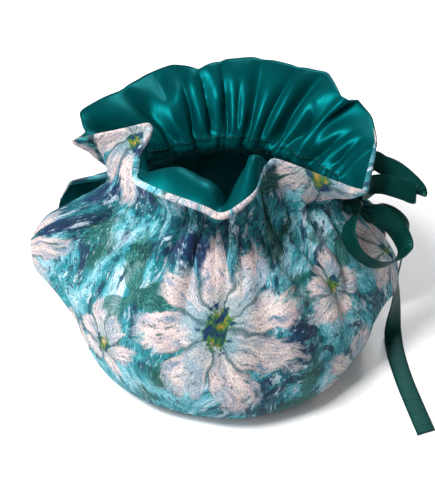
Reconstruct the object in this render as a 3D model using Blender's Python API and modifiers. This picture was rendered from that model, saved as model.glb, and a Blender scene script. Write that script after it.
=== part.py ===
"""A drawstring tea cosy: printed cotton outside, satin lining inside, a ruffled collar and a tied ribbon.

Metres, +Z up. The cosy stands on its hem, with the printed front facing -Y and a side opening at each end
of X. A place on the cloth is given by its turn, in degrees from +X round the cosy, and by its climb: 0 at
the hem, 1 at the gathered neck and 2 at the collar's rim.
"""
import math

import bmesh
import bpy
import numpy as np
from mathutils import Vector

MM = 0.001

# Cloth
OUTER_THICK = 2.0 * MM
LINING_THICK = 1.2 * MM
CLOTH_GAP = 0.3 * MM
OUTER_SEAM_GAP = 0.3 * MM
LINING_SEAM_GAP = 0.7 * MM
PANEL_COLUMNS = 36
COLLAR_STEPS = (0.15, 0.32, 0.5, 0.68, 0.85, 1.0)
LINING_HEM_LIFT = 3.0 * MM

# Ribbon
RIBBON_WIDTH = 12.0 * MM
RIBBON_THICK = 1.0 * MM
RIBBON_STEP = 6.0 * MM
SPLINE_STEPS = 12

# Colours, red, green and blue, and how rough each cloth is
PRINT_BLUE = (0.20, 0.36, 0.40)
PRINT_ROUGHNESS = 0.8
SATIN_TEAL = (0.002, 0.12, 0.14)
SATIN_ROUGHNESS = 0.35
RIBBON_GREEN = (0.004, 0.05, 0.035)
RIBBON_ROUGHNESS = 0.6

# Round body, hem to neck: height, reach from the middle and shift of the middle along X, in millimetres
BODY_COLUMNS = ("height", "reach", "lean")
BODY = (
    (0, 90.0, -3),
    (4, 90.0, -3),
    (12, 97.5, -3),
    (24, 100.5, -3),
    (36, 101.0, -3),
    (48, 99.5, -2),
    (62, 96.0, -1),
    (76, 90.0, 0),
    (89, 81.0, 0),
    (99, 71.5, 0),
    (107, 62.0, 0),
    (113, 55.0, 0),
    (118, 50.0, 0),
)

# Neck, in millimetres: nearly round, drawn out at both ends of X by the cloth of the side openings
NECK_ACROSS = 50.0
NECK_DEEP = 47.0
NECK_PULL_LEFT = (-26.0, 8.0)
NECK_PULL_RIGHT = (16.0, -6.0)
NECK_PULL_POWER = 6
SHOULDER_REACH = 89.0

# Collar's rim: turn in degrees, place in millimetres, and how far the middle of the collar stands above the
# straight line from neck to rim (lift) and inside it (tuck)
RIM_COLUMNS = ("fold", "turn", "x", "y", "z", "lift", "tuck")
RIM = (
    ("right end", 2, 90, 4, 143, 2, 2),
    ("right swell", 18, 88, 28, 150, 3, 4),
    ("right corner", 30, 80, 41, 154, 3, 4),
    ("right notch", 37, 71, 35, 156, 3, 4),
    ("back right corner", 53, 65, 69, 158, 4, 5),
    ("back right dip", 66, 44, 74, 160, 4, 5),
    ("back crest", 82, 18, 88, 160, 4, 6),
    ("back middle", 96, -4, 85, 159, 4, 6),
    ("back dip", 110, -20, 74, 158, 4, 5),
    ("back left crest", 123, -39, 85, 156, 4, 6),
    ("back left", 133, -53, 79, 154, 4, 6),
    ("left shoulder", 148, -72, 53, 152, 4, 6),
    ("left crest", 160, -97, 28, 150, 3, 4),
    ("left notch", 165, -85, 13, 147, 2, 3),
    ("left corner", 172, -98, -1, 147, 2, 2),
    ("left wall", 187, -76, 7, 149, 0, 0),
    ("left valley", 203, -49, 17, 151, 2, 0),
    ("left turn", 220, -55, -16, 150, 8, 4),
    ("front left corner", 236, -56, -47, 148, 16, 10),
    ("front left lobe", 253, -33, -62, 148, 22, 13),
    ("front lobe low", 268, -13, -72, 149, 20, 12),
    ("front tip", 277, -4, -78, 149, 6, 4),
    ("front right lobe", 297, 14, -54, 150, 18, 8),
    ("front valley", 312, 23, -31, 155, 4, 2),
    ("right wall", 326, 48, -34, 146, 0, 0),
    ("front right corner", 341, 79, -37, 134, 0, 0),
    ("right lip", 351, 84, -18, 139, 1, 1),
)

# Side openings: how far each panel's edge stands out from the round body and to its own side, in millimetres
OPENING_COLUMNS = ("height", "front_out", "front_side", "back_out", "back_side")
LEFT_OPENING = (
    (24, 0, 0, 0, 0),
    (36, 7, 6, 4, 6),
    (48, 17, 12, 12, 14),
    (62, 28, 15, 20, 20),
    (76, 36, 15, 26, 24),
    (89, 42, 15, 30, 25),
    (99, 40, 14, 30, 22),
    (107, 24, 9, 22, 14),
    (113, 9, 4, 9, 6),
    (118, 0, 0, 0, 0),
)
RIGHT_OPENING = (
    (24, -2, 0, -2, 0),
    (36, -2, 8, -2, 5),
    (48, 9, 25, 5, 10),
    (62, 12, 25, 10, 14),
    (76, 14, 21, 12, 15),
    (89, 14, 17, 12, 14),
    (99, 9, 12, 9, 11),
    (107, 6, 7, 6, 7),
    (113, 3, 3, 3, 3),
    (118, 0, 0, 0, 0),
)
OPENING_SPREAD = 45.0

# Gather folds, valleys in the cloth: turn at the neck, turn at the foot and half width in degrees, then depth
# at the neck and height of the foot in millimetres
FOLDS = (
    (206, 197, 6, 6.0, 66),
    (222, 214, 6, 5.0, 50),
    (238, 233, 5, 5.0, 55),
    (253, 250, 5, 5.5, 40),
    (267, 268, 5, 6.0, 35),
    (282, 286, 5, 5.5, 45),
    (298, 311, 6, 8.0, 15),
    (314, 322, 5, 7.0, 30),
    (330, 327, 5, 6.0, 25),
    (344, 340, 5, 3.0, 50),
    (16, 20, 6, 3.0, 60),
    (34, 32, 6, 4.0, 45),
    (52, 50, 6, 4.0, 50),
    (70, 72, 6, 4.0, 40),
    (88, 88, 6, 4.0, 55),
    (106, 108, 6, 4.0, 45),
    (124, 122, 6, 4.0, 50),
    (142, 146, 6, 4.0, 60),
    (160, 158, 6, 3.0, 70),
)
FOLD_FADE_UP = 0.75
FOLD_FADE_POWER = 1.5

# Rounding of the rim's corners, in degrees of turn, with the share of each step
ROUNDING = ((-5.0, 0.15), (-2.5, 0.2), (0.0, 0.3), (2.5, 0.2), (5.0, 0.15))

# Ribbon routes: x, y and z of the middle line in millimetres, then x, y and z of the way across the ribbon
UPPER_LOOP = (
    (77.8, -15.6, 117.2, 0.20, 0.30, 0.93),
    (87, -4, 122, 0.15, 0.30, 0.94),
    (94, 5, 122, 0.25, 0.45, 0.86),
    (99, 8, 121, 0.35, 0.55, 0.76),
    (106, 4, 119, 0.50, 0.50, 0.71),
    (113, -1, 116, 0.65, 0.40, 0.65),
    (117, -5, 112, 0.75, 0.25, 0.61),
    (112, -7, 112, 0.65, 0.40, 0.65),
    (103, -4, 115, 0.45, 0.50, 0.74),
    (96, -6, 118, 0.30, 0.40, 0.85),
    (88, -13, 119, 0.20, 0.30, 0.93),
    (79.8, -18.4, 117.2, 0.10, 0.30, 0.93),
)
HANGING_LOOP = (
    (80.6, -22.0, 114.0, 0.40, -0.10, 0.90),
    (88, -25, 113, 0.70, 0.10, 0.70),
    (96, -27, 108, 0.75, 0.10, 0.65),
    (104, -29, 99, 0.70, -0.05, 0.71),
    (107, -34, 91, 0.60, -0.30, 0.74),
    (100, -42, 88, 0.45, -0.45, 0.77),
    (88, -47, 90, 0.35, -0.50, 0.79),
    (77, -46, 97, 0.30, -0.50, 0.81),
    (71, -40, 106, 0.50, -0.40, 0.77),
    (73, -32, 112, 0.60, -0.20, 0.75),
    (77.6, -26.0, 113.0, 0.60, 0.00, 0.80),
)
LONG_TAIL = (
    (79.4, -18.8, 111.0, 0.60, 0.50, 0.63),
    (87, -18, 106, 0.60, 0.50, 0.63),
    (95, -15, 105, 0.60, 0.50, 0.63),
    (103, -16, 101, 0.70, 0.50, 0.51),
    (109, -18, 94, 0.60, 0.70, 0.33),
    (111, -18, 82, 0.35, 0.90, 0.15),
    (111, -16, 66, 0.30, 0.95, 0.05),
    (111, -14, 48, 0.35, 0.94, 0.00),
    (113, -12, 30, 0.60, 0.80, 0.00),
    (114, -11, 14, 0.85, 0.52, 0.00),
    (114, -15, 4, 0.96, 0.28, 0.00),
    (113.5, -25, 0.9, 1.0, 0.00, 0.00),
    (113.5, -40, 0.9, 1.0, 0.04, 0.00),
    (115, -60, 0.9, 0.99, 0.12, 0.00),
    (118, -82, 0.9, 0.98, 0.18, 0.00),
    (121, -102, 0.9, 0.98, 0.18, 0.00),
)
SHORT_TAIL = (
    (78.4, -15.4, 111.0, 0.60, 0.30, 0.70),
    (82, -7, 110, 0.40, 0.10, 0.90),
    (87, 5, 108, 0.30, 0.20, 0.93),
    (92, 17, 103, 0.50, 0.40, 0.77),
    (95, 28, 94, 0.70, 0.60, 0.40),
    (96, 33, 84, 0.70, 0.60, 0.10),
)
KNOT_PLACE = (74.6, -19.8, 114)
KNOT_SIZE = (11, 12, 10)
KNOT_SEGMENTS = (16, 10)
PINCH_WIDTH = 0.4
PINCH_RUN = 12.0 * MM


def table(rows, columns):
    """The rows as one array for each named column."""
    return {name: np.array([row[place] for row in rows]) for place, name in enumerate(columns)}


BODY_TABLE = table(BODY, BODY_COLUMNS)
RIM_TABLE = table(RIM, RIM_COLUMNS)
LEFT_TABLE = table(LEFT_OPENING, OPENING_COLUMNS)
RIGHT_TABLE = table(RIGHT_OPENING, OPENING_COLUMNS)
NECK_HEIGHT = float(BODY_TABLE["height"][-1])
NECK_REACH = float(BODY_TABLE["reach"][-1])


def rim_value(column, turn):
    """A column of the rim table at a turn, with its corners rounded."""
    return sum(share * np.interp(turn + step, RIM_TABLE["turn"], RIM_TABLE[column], period=360)
               for step, share in ROUNDING)


def turn_apart(turn, other):
    """Degrees from one turn to another, from -180 to 180."""
    return (turn - other + 180.0) % 360.0 - 180.0


def neck_point(turn):
    """The gathered neck seen from above, in millimetres."""
    angle = math.radians(turn)
    left = max(0.0, -math.cos(angle)) ** NECK_PULL_POWER
    right = max(0.0, math.cos(angle)) ** NECK_PULL_POWER
    x = NECK_ACROSS * math.cos(angle) + left * NECK_PULL_LEFT[0] + right * NECK_PULL_RIGHT[0]
    y = NECK_DEEP * math.sin(angle) + left * NECK_PULL_LEFT[1] + right * NECK_PULL_RIGHT[1]
    return np.array((x, y))


def opening_offset(turn, height, front):
    """How far a panel stands off the round body towards a side opening, in millimetres."""
    side = -1.0 if front else 1.0
    panel = "front" if front else "back"
    offset = np.zeros(2)
    for seam, outward, rows in ((180.0, -1.0, LEFT_TABLE), (0.0, 1.0, RIGHT_TABLE)):
        nearness = max(0.0, 1.0 - abs(turn_apart(turn, seam)) / OPENING_SPREAD)
        out = np.interp(height, rows["height"], rows[panel + "_out"])
        aside = np.interp(height, rows["height"], rows[panel + "_side"])
        offset += nearness ** 2 * np.array((outward * out, side * aside))
    return offset


def fold_depth(turn, height, climb):
    """Depth of the gather folds at a place on the cloth, in millimetres."""
    depth = 0.0
    for turn_top, turn_foot, width, deepest, foot in FOLDS:
        if climb <= 1.0:
            share = (height - foot) / (NECK_HEIGHT - foot)
            if share <= 0.0:
                continue
            fade = math.sin(0.5 * math.pi * share)
            middle = turn_foot + turn_apart(turn_top, turn_foot) * share
        else:
            fade = max(0.0, 1.0 - (climb - 1.0) / FOLD_FADE_UP) ** FOLD_FADE_POWER
            middle = turn_top
        depth += deepest * fade * math.exp(-(turn_apart(turn, middle) / width) ** 2)
    return depth


def body_point(turn, height, front):
    """A point of the cloth below the neck, in millimetres."""
    angle = math.radians(turn)
    ray = np.array((math.cos(angle), math.sin(angle)))
    reach = np.interp(height, BODY_TABLE["height"], BODY_TABLE["reach"])
    drawn = max(0.0, (SHOULDER_REACH - reach) / (SHOULDER_REACH - NECK_REACH)) ** 2
    lean = np.interp(height, BODY_TABLE["height"], BODY_TABLE["lean"])
    plan = ray * reach + drawn * (neck_point(turn) - ray * NECK_REACH)
    plan[0] += lean
    plan = plan + opening_offset(turn, height, front)
    plan = plan - ray * fold_depth(turn, height, height / NECK_HEIGHT)
    return np.array((plan[0], plan[1], height))


def collar_point(turn, share):
    """A point of the cloth above the neck, in millimetres: share runs from 0 at the neck to 1 at the rim."""
    neck = np.append(neck_point(turn), NECK_HEIGHT)
    rim = np.array([rim_value(column, turn) for column in ("x", "y", "z")])
    angle = math.radians(turn)
    ray = np.array((math.cos(angle), math.sin(angle), 0.0))
    swell = 1.0 - (2.0 * share - 1.0) ** 2
    point = neck + (rim - neck) * share
    point[2] += rim_value("lift", turn) * swell
    inward = rim_value("tuck", turn) * swell + fold_depth(turn, NECK_HEIGHT, 1.0 + share)
    return point - ray * inward


def cloth_point(turn, climb, front):
    """A point of the draped cloth, in metres."""
    if climb <= 1.0:
        point = body_point(turn, climb * NECK_HEIGHT, front)
    else:
        point = collar_point(turn, climb - 1.0)
    return Vector(point * MM)


def cloth_material(name, colour, roughness):
    """A plain cloth material."""
    material = bpy.data.materials.new(name)
    material.use_nodes = True
    shader = material.node_tree.nodes["Principled BSDF"]
    shader.inputs["Base Color"].default_value = (*colour, 1.0)
    shader.inputs["Roughness"].default_value = roughness
    shader.inputs["Metallic"].default_value = 0.0
    material.diffuse_color = (*colour, 1.0)
    return material


def finish_sheet(name, grid, collection, material, thickness, offset):
    """Make an object of an open sheet and give it its thickness."""
    mesh = bpy.data.meshes.new(name)
    grid.to_mesh(mesh)
    grid.free()
    mesh.shade_smooth()
    mesh.materials.append(material)
    sheet = bpy.data.objects.new(name, mesh)
    collection.objects.link(sheet)
    solidify = sheet.modifiers.new("cloth thickness", "SOLIDIFY")
    solidify.thickness = thickness
    solidify.offset = offset
    return sheet


def cloth_panel(name, collection, material, front, climbs, thickness, offset, seam_gap):
    """One cut panel from side seam to side seam, draped, with its thickness to one side of the sheet."""
    first_turn = 180.0 if front else 0.0
    turns = np.linspace(first_turn, first_turn + 180.0, PANEL_COLUMNS + 1)
    grid = bmesh.new()
    bmesh.ops.create_grid(grid, x_segments=PANEL_COLUMNS, y_segments=len(climbs) - 1, size=0.5)
    grid.verts.ensure_lookup_table()
    for index, vertex in enumerate(grid.verts):
        row, column = divmod(index, PANEL_COLUMNS + 1)
        vertex.co = cloth_point(turns[column], climbs[row], front)
    for row in range(len(climbs)):
        first = row * (PANEL_COLUMNS + 1)
        last = first + PANEL_COLUMNS
        for edge, beside in ((first, first + 1), (last, last - 1)):
            inward = grid.verts[beside].co - grid.verts[edge].co
            grid.verts[edge].co += inward.normalized() * seam_gap
    bmesh.ops.triangulate(grid, faces=grid.faces[:], quad_method="FIXED")
    grid.normal_update()
    shifts = [vertex.normal * (offset * CLOTH_GAP / 2.0) for vertex in grid.verts]
    for vertex, shift in zip(grid.verts, shifts):
        vertex.co += shift
    return finish_sheet(name, grid, collection, material, thickness, offset)


def smooth_route(rows):
    """Middle line and way across of a ribbon, in millimetres, at even steps along a smooth curve."""
    keys = np.array(rows, float)
    padded = np.vstack((2 * keys[0] - keys[1], keys, 2 * keys[-1] - keys[-2]))
    places = []
    for before, start, end, after in zip(padded, padded[1:], padded[2:], padded[3:]):
        for share in np.linspace(0.0, 1.0, SPLINE_STEPS, endpoint=False):
            places.append(0.5 * (2 * start + (end - before) * share
                                 + (2 * before - 5 * start + 4 * end - after) * share ** 2
                                 + (3 * start - before - 3 * end + after) * share ** 3))
    places.append(keys[-1])
    places = np.array(places)
    run = np.append(0.0, np.cumsum(np.linalg.norm(np.diff(places[:, :3], axis=0), axis=1)))
    count = max(3, round(run[-1] * MM / RIBBON_STEP))
    steps = np.linspace(0.0, run[-1], count + 1)
    return np.stack([np.interp(steps, run, column) for column in places.T], axis=1)


def ribbon(name, collection, material, rows, both_ends):
    """A stretch of flat ribbon along its route, pinched where it leaves the knot."""
    stations = smooth_route(rows)
    lines = np.gradient(stations[:, :3], axis=0)
    run = np.append(0.0, np.cumsum(np.linalg.norm(np.diff(stations[:, :3], axis=0), axis=1))) * MM
    from_knot = np.minimum(run, run[-1] - run) if both_ends else run
    widths = RIBBON_WIDTH * (PINCH_WIDTH + (1.0 - PINCH_WIDTH) * np.minimum(1.0, from_knot / PINCH_RUN))
    grid = bmesh.new()
    bmesh.ops.create_grid(grid, x_segments=len(stations) - 1, y_segments=1, size=0.5)
    grid.verts.ensure_lookup_table()
    for index, vertex in enumerate(grid.verts):
        row, column = divmod(index, len(stations))
        along = Vector(lines[column]).normalized()
        across = Vector(stations[column, 3:])
        across = (across - along * across.dot(along)).normalized()
        side = row - 0.5
        vertex.co = Vector(stations[column, :3] * MM) + across * widths[column] * side
    return finish_sheet(name, grid, collection, material, RIBBON_THICK, 0.0)


def ribbon_knot(name, collection, material):
    """The knot of the bow, a small rounded cushion of ribbon."""
    knot = bmesh.new()
    bmesh.ops.create_uvsphere(knot, u_segments=KNOT_SEGMENTS[0], v_segments=KNOT_SEGMENTS[1], radius=0.5)
    for vertex in knot.verts:
        vertex.co = Vector(place * size * MM for place, size in zip(vertex.co, KNOT_SIZE))
    mesh = bpy.data.meshes.new(name)
    knot.to_mesh(mesh)
    knot.free()
    mesh.shade_smooth()
    mesh.materials.append(material)
    piece = bpy.data.objects.new(name, mesh)
    piece.location = Vector(KNOT_PLACE) * MM
    collection.objects.link(piece)
    return piece


def build():
    """The whole cosy."""
    for old in list(bpy.data.objects):
        bpy.data.objects.remove(old, do_unlink=True)
    collection = bpy.data.collections.new("tea cosy")
    bpy.context.scene.collection.children.link(collection)

    print_front = cloth_material("printed cotton front", PRINT_BLUE, PRINT_ROUGHNESS)
    print_back = cloth_material("printed cotton back", PRINT_BLUE, PRINT_ROUGHNESS)
    satin_front = cloth_material("satin lining front", SATIN_TEAL, SATIN_ROUGHNESS)
    satin_back = cloth_material("satin lining back", SATIN_TEAL, SATIN_ROUGHNESS)

    body_climbs = [height / NECK_HEIGHT for height in BODY_TABLE["height"]]
    outer_climbs = body_climbs + [1.0 + step for step in COLLAR_STEPS]
    lining_climbs = list(outer_climbs)
    lining_climbs[0] = LINING_HEM_LIFT / MM / NECK_HEIGHT
    for name, material, front in (("outer_front", print_front, True), ("outer_back", print_back, False)):
        cloth_panel(name, collection, material, front, outer_climbs, OUTER_THICK, 1.0, OUTER_SEAM_GAP)
    for name, material, front in (("lining_front", satin_front, True), ("lining_back", satin_back, False)):
        cloth_panel(name, collection, material, front, lining_climbs, LINING_THICK, -1.0, LINING_SEAM_GAP)

    for name, rows, both_ends in (
        ("bow_loop_upper", UPPER_LOOP, True),
        ("bow_loop_hanging", HANGING_LOOP, True),
        ("tail_long", LONG_TAIL, False),
        ("tail_short", SHORT_TAIL, False),
    ):
        green = cloth_material(name.replace("_", " "), RIBBON_GREEN, RIBBON_ROUGHNESS)
        ribbon(name, collection, green, rows, both_ends)
    ribbon_knot("bow_knot", collection, cloth_material("bow knot", RIBBON_GREEN, RIBBON_ROUGHNESS))


build()
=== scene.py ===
# %% [markdown]
# # A drawstring tea cosy
# The cosy is two cut panels of printed cotton with thin wadding, two panels of teal satin as its lining, and
# one length of grosgrain ribbon that draws the neck together and is tied in a bow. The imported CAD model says
# where each piece is. This lesson dresses it: the same draped shapes with finer folds, and a finish for every
# cloth.

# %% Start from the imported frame
import math

import bmesh
import bpy
import numpy as np
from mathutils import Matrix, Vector


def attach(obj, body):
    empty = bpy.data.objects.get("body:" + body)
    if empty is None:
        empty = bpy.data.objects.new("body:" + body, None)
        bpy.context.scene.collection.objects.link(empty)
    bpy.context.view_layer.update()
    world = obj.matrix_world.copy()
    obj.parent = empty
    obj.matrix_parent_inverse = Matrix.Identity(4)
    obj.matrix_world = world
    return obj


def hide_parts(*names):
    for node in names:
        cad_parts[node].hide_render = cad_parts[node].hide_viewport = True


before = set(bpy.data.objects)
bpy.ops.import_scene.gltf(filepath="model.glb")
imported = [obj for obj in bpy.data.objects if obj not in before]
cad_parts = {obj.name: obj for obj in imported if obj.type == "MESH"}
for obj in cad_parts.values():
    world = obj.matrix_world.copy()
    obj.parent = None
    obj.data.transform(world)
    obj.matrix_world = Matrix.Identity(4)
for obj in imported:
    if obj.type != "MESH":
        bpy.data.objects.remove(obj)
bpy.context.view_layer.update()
MM = 0.001
print("CAD pieces:", sorted(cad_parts))

# %% [markdown]
# The camera looks down at the front from about 38 degrees. It comes first, because every later look at the
# cosy is judged through it. There is no depth of field, so every fold stays sharp.

# %% Camera
CAMERA_PLACE = (-0.008, -0.45, 0.42)
CAMERA_DOWN = 38.2
camera_data = bpy.data.cameras.new("camera")
camera_data.sensor_width = 36.0
camera_data.lens = 62.7
camera = bpy.data.objects.new("camera", camera_data)
camera.location = CAMERA_PLACE
camera.rotation_euler = (math.radians(90.0 - CAMERA_DOWN), 0.0, 0.0)
bpy.context.scene.collection.objects.link(camera)
bpy.context.scene.camera = camera
print("camera", CAMERA_PLACE, "looking down", CAMERA_DOWN, "degrees")

# %% [markdown]
# A place on the cloth has a turn, in degrees from +X round the cosy, and a climb: 0 at the hem, 1 at the
# gathered neck and 2 at the collar's rim. These tables are the sizes that the CAD model was draped from, in
# millimetres, so the fine cloth lies where the plain cloth does.

# %% Sizes of the body, neck and collar
# Height, reach from the middle, shift along X
BODY = np.array((
    (0, 90.0, -3), (4, 90.0, -3), (12, 97.5, -3), (24, 100.5, -3), (36, 101.0, -3), (48, 99.5, -2),
    (62, 96.0, -1), (76, 90.0, 0), (89, 81.0, 0), (99, 71.5, 0), (107, 62.0, 0), (113, 55.0, 0),
    (118, 50.0, 0),
))
NECK_HEIGHT = 118.0
NECK_REACH = 50.0
NECK_ACROSS = 50.0
NECK_DEEP = 47.0
NECK_PULL_LEFT = (-26.0, 8.0)
NECK_PULL_RIGHT = (16.0, -6.0)
NECK_PULL_POWER = 6
SHOULDER_REACH = 89.0
# Turn, x, y, z, lift of the collar's middle above the straight line, tuck of it inside that line
RIM = np.array((
    (2, 90, 4, 143, 2, 2), (18, 88, 28, 150, 3, 4), (30, 80, 41, 154, 3, 4), (37, 71, 35, 156, 3, 4),
    (53, 65, 69, 158, 4, 5), (66, 44, 74, 160, 4, 5), (82, 18, 88, 160, 4, 6), (96, -4, 85, 159, 4, 6),
    (110, -20, 74, 158, 4, 5), (123, -39, 85, 156, 4, 6), (133, -53, 79, 154, 4, 6),
    (148, -72, 53, 152, 4, 6), (160, -97, 28, 150, 3, 4), (165, -85, 13, 147, 2, 3),
    (172, -98, -1, 147, 2, 2), (187, -76, 7, 149, 0, 0), (203, -49, 17, 151, 2, 0),
    (220, -55, -16, 150, 3, 0), (230, -56, -35, 148.5, 5, 1), (237, -55.5, -47, 148, 15, 8),
    (245, -44, -57, 148, 21, 11), (254, -32, -65.5, 148, 20, 11), (264, -19, -73, 148, 18, 10),
    (268, -14, -75.5, 148, 14, 8), (272.5, -8.5, -77.3, 148, 3, 3), (277, -2.5, -77.8, 148, 13, 7),
    (283, 5, -73.5, 148.5, 20, 12), (289, 10.5, -65.5, 149, 24, 14), (296, 13.5, -55, 150, 24, 13),
    (303, 17, -44, 152, 18, 9), (312, 23, -30, 155, 4, 2), (326, 48, -34, 146, 0, 0),
    (341, 79, -37, 134, 0, 0), (351, 84, -18, 139, 1, 1),
), float)
# Height, then how far each panel's edge stands out and aside: front out, front side, back out, back side
LEFT_OPENING = np.array((
    (24, 0, 0, 0, 0), (36, 7, 6, 4, 6), (48, 17, 12, 12, 14), (62, 28, 15, 20, 20), (76, 36, 15, 26, 24),
    (89, 42, 15, 30, 25), (99, 40, 14, 30, 22), (107, 24, 9, 22, 14), (113, 9, 4, 9, 6), (118, 0, 0, 0, 0),
), float)
RIGHT_OPENING = np.array((
    (24, -2, 0, -2, 0), (36, -2, 8, -2, 5), (48, 9, 25, 5, 10), (62, 12, 25, 10, 14), (76, 14, 21, 12, 15),
    (89, 14, 17, 12, 14), (99, 9, 12, 9, 11), (107, 6, 7, 6, 7), (113, 3, 3, 3, 3), (118, 0, 0, 0, 0),
), float)
OPENING_SPREAD = 45.0
OPENING_FOOT = 24.0
# Main folds: turn at the neck, turn at the foot, half width in degrees, depth at the neck, height of the foot
FOLDS = (
    (206, 197, 6, 6.0, 66), (222, 214, 6, 5.0, 50), (238, 233, 5, 5.0, 55), (253, 250, 5, 5.5, 40),
    (267, 268, 5, 6.0, 35), (282, 286, 5, 5.5, 45), (298, 311, 6, 8.0, 15), (314, 322, 5, 7.0, 30),
    (330, 327, 5, 6.0, 25), (344, 340, 5, 3.0, 50), (16, 20, 6, 3.0, 60), (34, 32, 6, 4.0, 45),
    (52, 50, 6, 4.0, 50), (70, 72, 6, 4.0, 40), (88, 88, 6, 4.0, 55), (106, 108, 6, 4.0, 45),
    (124, 122, 6, 4.0, 50), (142, 146, 6, 4.0, 60), (160, 158, 6, 3.0, 70),
)
FOLD_FADE_UP = 0.75
print(len(RIM), "points round the rim,", len(FOLDS), "main folds")

# %% [markdown]
# Each table is read with a curve that bends smoothly through its rows. A straight line from row to row would
# show as rings round the body and as kinks along the rim.

# %% Read a table smoothly
RIM_SOFTENING = np.linspace(-4.5, 4.5, 19)


def through(x, rows, column):
    """A smooth curve through one column of a table, without overshoot."""
    xs, ys = rows[:, 0], rows[:, column]
    step = np.diff(xs)
    rise = np.diff(ys) / step
    slope = np.zeros(len(xs))
    both = rise[:-1] * rise[1:]
    slope[1:-1] = np.where(both > 0, 2 * both / np.where(both > 0, rise[:-1] + rise[1:], 1.0), 0.0)
    slope[0], slope[-1] = rise[0], rise[-1]
    place = np.clip(np.searchsorted(xs, x, "right") - 1, 0, len(step) - 1)
    t = np.clip((x - xs[place]) / step[place], 0.0, 1.0)
    h = step[place]
    return ((2 * t ** 3 - 3 * t ** 2 + 1) * ys[place] + (t ** 3 - 2 * t ** 2 + t) * h * slope[place]
            + (3 * t ** 2 - 2 * t ** 3) * ys[place + 1] + (t ** 3 - t ** 2) * h * slope[place + 1])


def round_rim(turn, column):
    """One column of the rim's table, with its corners a little rounded."""
    weights = np.cos(np.linspace(-0.5, 0.5, len(RIM_SOFTENING)) * math.pi) ** 2
    total = 0.0
    for step, weight in zip(RIM_SOFTENING, weights / weights.sum()):
        total = total + weight * np.interp(turn + step, RIM[:, 0], RIM[:, column], period=360)
    return total


def apart(turn, other):
    """Degrees from one turn to another, from -180 to 180."""
    return (turn - other + 180.0) % 360.0 - 180.0


def hump(off, half):
    """A round hump, 1 high in its middle."""
    return np.exp(-(off / half) ** 2)


def ease(share):
    """From 0 to 1 with a soft start and a soft end."""
    share = np.clip(share, 0.0, 1.0)
    return share * share * (3.0 - 2.0 * share)


def unit(vectors):
    """The same ways, each one long."""
    return vectors / np.linalg.norm(vectors, axis=-1, keepdims=True)


def ray_at(turn):
    """The way straight out from the middle, seen from above."""
    return np.stack((np.cos(np.radians(turn)), np.sin(np.radians(turn))), axis=-1)


print("reach at half height:", float(through(np.array(59.0), BODY, 1)))

# %% [markdown]
# Below the neck the cloth is a round body. The front and back panels stand apart at the two side openings,
# and the gathers are valleys that run down from the neck. Above the neck the collar leans out to its rim.

# %% Drape the main shape
def neck_places(turn):
    """The gathered neck seen from above."""
    out = np.cos(np.radians(turn))
    left = np.maximum(0.0, -out) ** NECK_PULL_POWER
    right = np.maximum(0.0, out) ** NECK_PULL_POWER
    x = NECK_ACROSS * out + left * NECK_PULL_LEFT[0] + right * NECK_PULL_RIGHT[0]
    y = NECK_DEEP * np.sin(np.radians(turn)) + left * NECK_PULL_LEFT[1] + right * NECK_PULL_RIGHT[1]
    return np.stack((x, y), axis=-1)


def opening_offsets(turn, height, front):
    """How far a panel stands off the round body towards the side openings."""
    side, out_column = (-1.0, 1) if front else (1.0, 3)
    offset = np.zeros(turn.shape + (2,))
    for seam, outward, rows in ((180.0, -1.0, LEFT_OPENING), (0.0, 1.0, RIGHT_OPENING)):
        near = np.maximum(0.0, 1.0 - np.abs(apart(turn, seam)) / OPENING_SPREAD) ** 2
        offset[..., 0] += near * outward * through(height, rows, out_column)
        offset[..., 1] += near * side * through(height, rows, out_column + 1)
    return offset


def fold_depths(turn, climb):
    """Depth of the main folds at each place."""
    height = np.minimum(climb, 1.0) * NECK_HEIGHT
    depth = np.zeros(turn.shape)
    for top, bottom, width, deepest, foot in FOLDS:
        share = np.clip((height - foot) / (NECK_HEIGHT - foot), 0.0, 1.0)
        up = np.clip(1.0 - (climb - 1.0) / FOLD_FADE_UP, 0.0, 1.0) ** 1.5
        fade = np.where(climb <= 1.0, np.sin(0.5 * math.pi * share), up)
        middle = np.where(climb <= 1.0, bottom + apart(top, bottom) * share, top)
        depth += deepest * fade * hump(apart(turn, middle), width)
    return depth


def body_places(turn, climb, front):
    """Places on the body, below the neck."""
    height = climb * NECK_HEIGHT
    ray = ray_at(turn)
    reach = through(height, BODY, 1)
    drawn = np.maximum(0.0, (SHOULDER_REACH - reach) / (SHOULDER_REACH - NECK_REACH)) ** 2
    plan = ray * reach[..., None] + drawn[..., None] * (neck_places(turn) - ray * NECK_REACH)
    plan[..., 0] += through(height, BODY, 2)
    plan += opening_offsets(turn, height, front) - ray * fold_depths(turn, climb)[..., None]
    return np.concatenate((plan, height[..., None]), axis=-1)


def collar_places(turn, climb):
    """Places on the collar, above the neck."""
    share = (climb - 1.0)[..., None]
    neck = np.concatenate((neck_places(turn), np.full(turn.shape + (1,), NECK_HEIGHT)), axis=-1)
    rim = np.stack([round_rim(turn, column) for column in (1, 2, 3)], axis=-1)
    swell = 1.0 - (2.0 * share[..., 0] - 1.0) ** 2
    places = neck + (rim - neck) * share
    places[..., 2] += round_rim(turn, 4) * swell
    inward = round_rim(turn, 5) * swell + fold_depths(turn, climb)
    places[..., :2] -= ray_at(turn) * inward[..., None]
    return places


def main_shape(turn, climb, front):
    """Places on the middle of the two cloths."""
    low = body_places(turn, np.minimum(climb, 1.0), front)
    high = collar_places(turn, np.maximum(climb, 1.0))
    return np.where((climb <= 1.0)[..., None], low, high)


print("neck is", 2 * NECK_ACROSS, "by", 2 * NECK_DEEP, "mm before the openings draw it out")

# %% [markdown]
# Real gathers are never even. A drawn-up neck has dozens of small puckers between its main folds, each with
# its own depth and reach. The body also has shallow dents from handling. Both are drawn from seeded random
# numbers, so the cosy comes out the same each time.

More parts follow.
